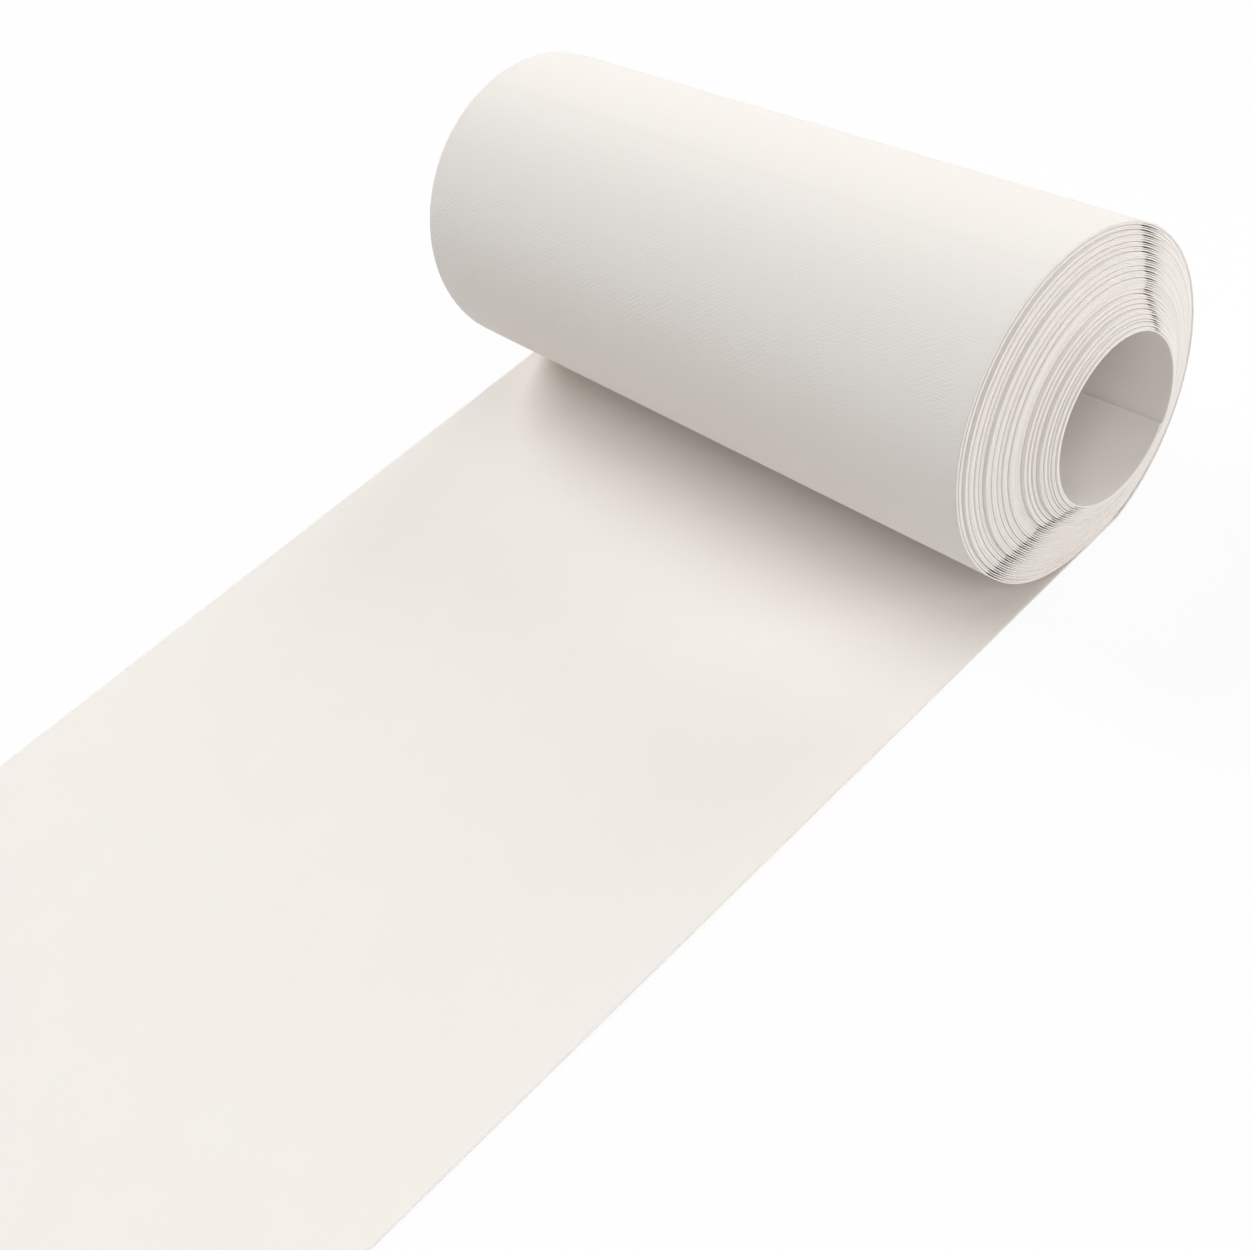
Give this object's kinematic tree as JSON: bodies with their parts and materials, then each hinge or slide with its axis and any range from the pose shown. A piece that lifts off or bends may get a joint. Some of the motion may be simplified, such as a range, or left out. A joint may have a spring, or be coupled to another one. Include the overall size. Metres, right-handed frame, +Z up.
{
  "type": "backdrop paper roll",
  "caption": "Coreless roll of heavy off-white backdrop paper with its outer turn drawn out flat; the roll turns as it travels along the drawn sheet.",
  "frame": {"origin": "on the floor, under the roll's axis, at the middle of the paper's width", "axes": "+X along the roll's axis towards the end whose inner turns stand out, +Y towards the back of the roll, away from the drawn sheet's cut end, +Z up"},
  "size_m": [0.2625, 0.4354, 0.1093],
  "materials": {
    "paper": "matt, with a fine embossed grain"
  },
  "bodies": {
    "sheet": {"drawn_sheet": "paper"},
    "leaving_turn": {"lead_off": "paper"},
    "roll": {"wound_paper": "paper"}
  },
  "joints": [
    {"name": "roll_travel", "type": "slide", "parent": "sheet", "child": "leaving_turn", "axis": [0, 1, 0], "range_m": [-0.35, 0.344], "deforming": ["drawn_sheet"]},
    {"name": "roll_turn", "type": "hinge", "parent": "leaving_turn", "child": "roll", "pos_m": [0, 0, 0.0551], "axis": [1, 0, 0], "range_deg": [-360, 366]}
  ],
  "couplings": [
    {"joint": "roll_turn", "follows": "roll_travel", "rad_per_m": -18.248}
  ]
}
